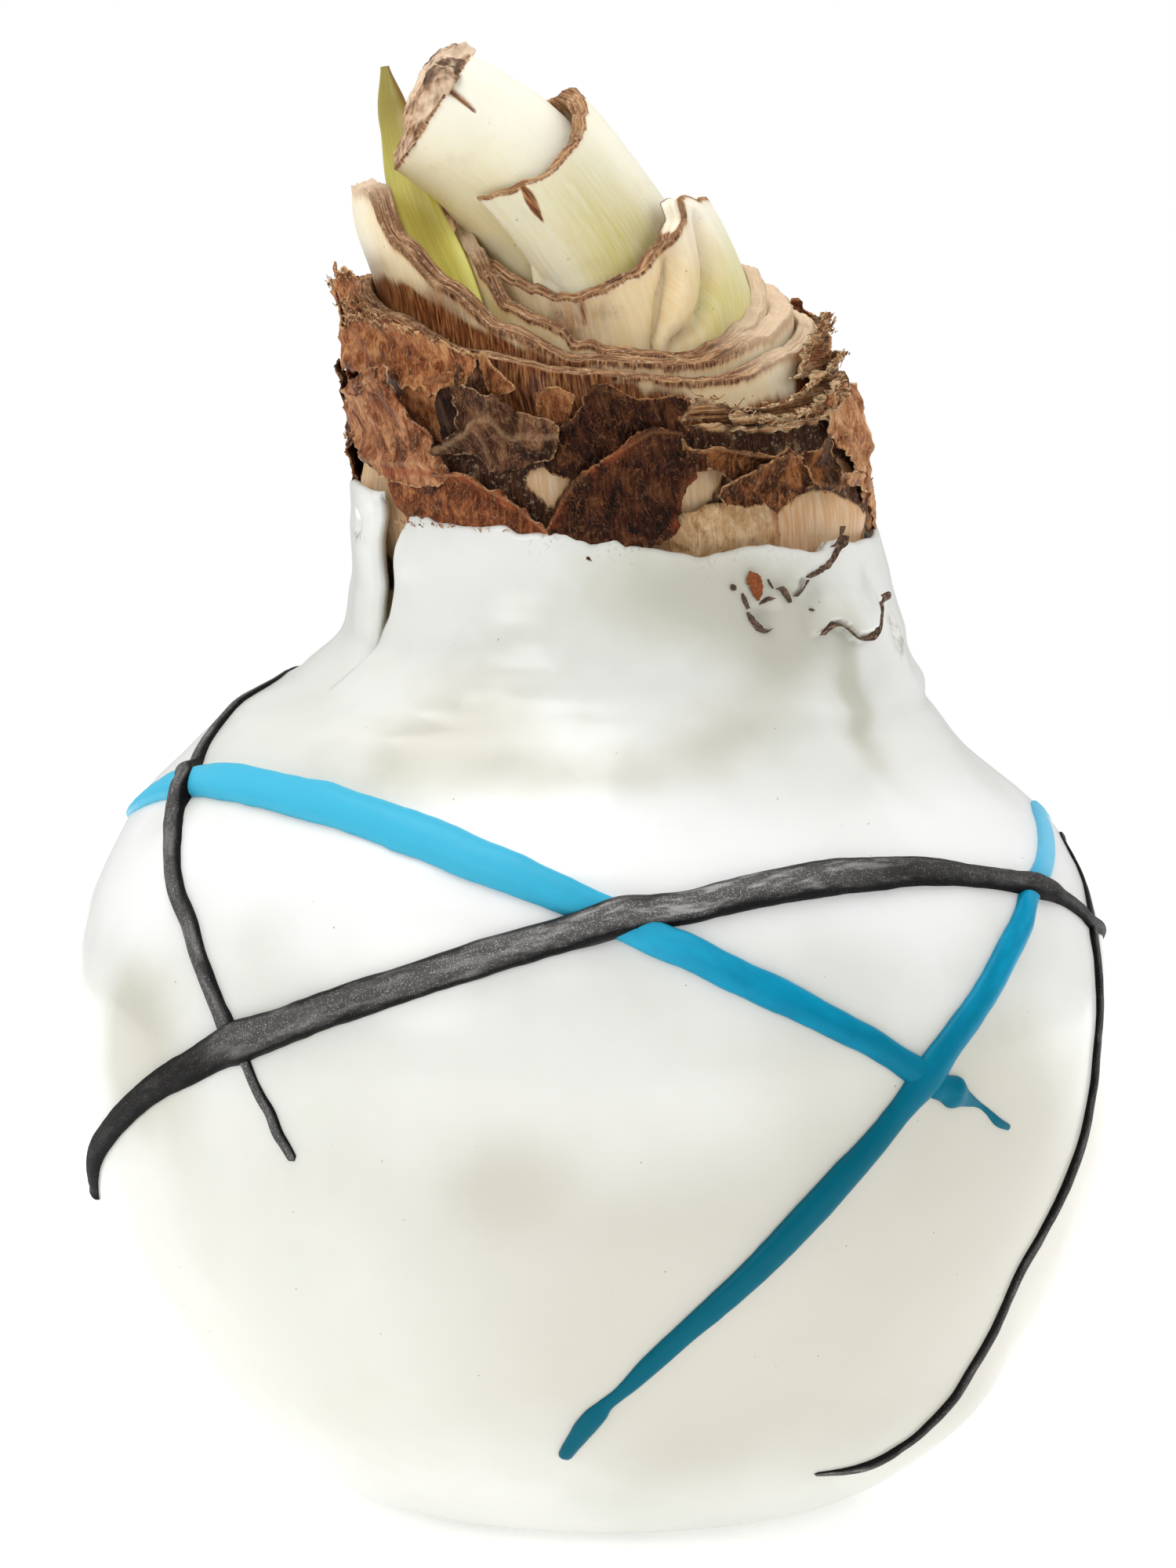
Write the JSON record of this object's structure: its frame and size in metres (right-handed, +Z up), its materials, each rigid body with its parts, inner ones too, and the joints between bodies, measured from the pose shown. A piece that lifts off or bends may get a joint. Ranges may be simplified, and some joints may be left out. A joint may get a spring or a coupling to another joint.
{
  "type": "waxed amaryllis bulb",
  "caption": "Dormant amaryllis bulb dipped in glossy white wax with poured strands of coloured wax, its cut neck scales, leaf bases and green sprout left bare.",
  "frame": {"origin": "middle of the flat spot that the bulb rests on, under the middle of its girth", "axes": "+Z up through the neck, -Y towards the front, and the leaf bases lean towards -X"},
  "size_m": [0.0904, 0.0904, 0.1267],
  "materials": {
    "white_wax": "glossy, slightly translucent wax",
    "black_wax": "satin black wax with fine silver glitter",
    "blue_wax": "satin turquoise wax",
    "scale_flesh": "cream fleshy scale with a brown cut rim",
    "leaf_base": "pale green leaf base with fine lengthwise veins",
    "sprout": "smooth yellow-green young leaf",
    "brown_tunic": "papery brown tunic",
    "dark_tunic": "dark brown papery tunic",
    "tunic_fibre": "tan fibrous torn tunic"
  },
  "bodies": {
    "root": {"wax_coat": "white_wax", "bulb_body": "scale_flesh", "outer_neck_scale": "scale_flesh", "middle_neck_scale": "scale_flesh", "lobed_neck_scale": "scale_flesh", "inner_neck_scale": "scale_flesh", "folded_leaf_base": "leaf_base", "split_leaf_base": "leaf_base", "core_leaf_base": "leaf_base", "withered_leaf_tip": "tunic_fibre", "green_sprout": "sprout", "tunic_left_fringe": "tunic_fibre", "tunic_left_flap": "brown_tunic", "tunic_crumpled": "dark_tunic", "tunic_left_band": "brown_tunic", "tunic_centre": "dark_tunic", "tunic_centre_upper": "dark_tunic", "tunic_tan_band": "tunic_fibre", "tunic_right_rims": "tunic_fibre", "tunic_right_flap": "brown_tunic", "tunic_right_edge": "brown_tunic", "tunic_back_right": "brown_tunic", "tunic_back_left": "dark_tunic", "tunic_back_fringe": "tunic_fibre", "chip_rusty": "brown_tunic", "chip_curled": "tunic_fibre", "chip_small": "dark_tunic", "chip_lip": "tunic_fibre", "chip_hook": "brown_tunic", "blue_wax_strands": "blue_wax", "black_wax_strands": "black_wax"}
  },
  "joints": []
}
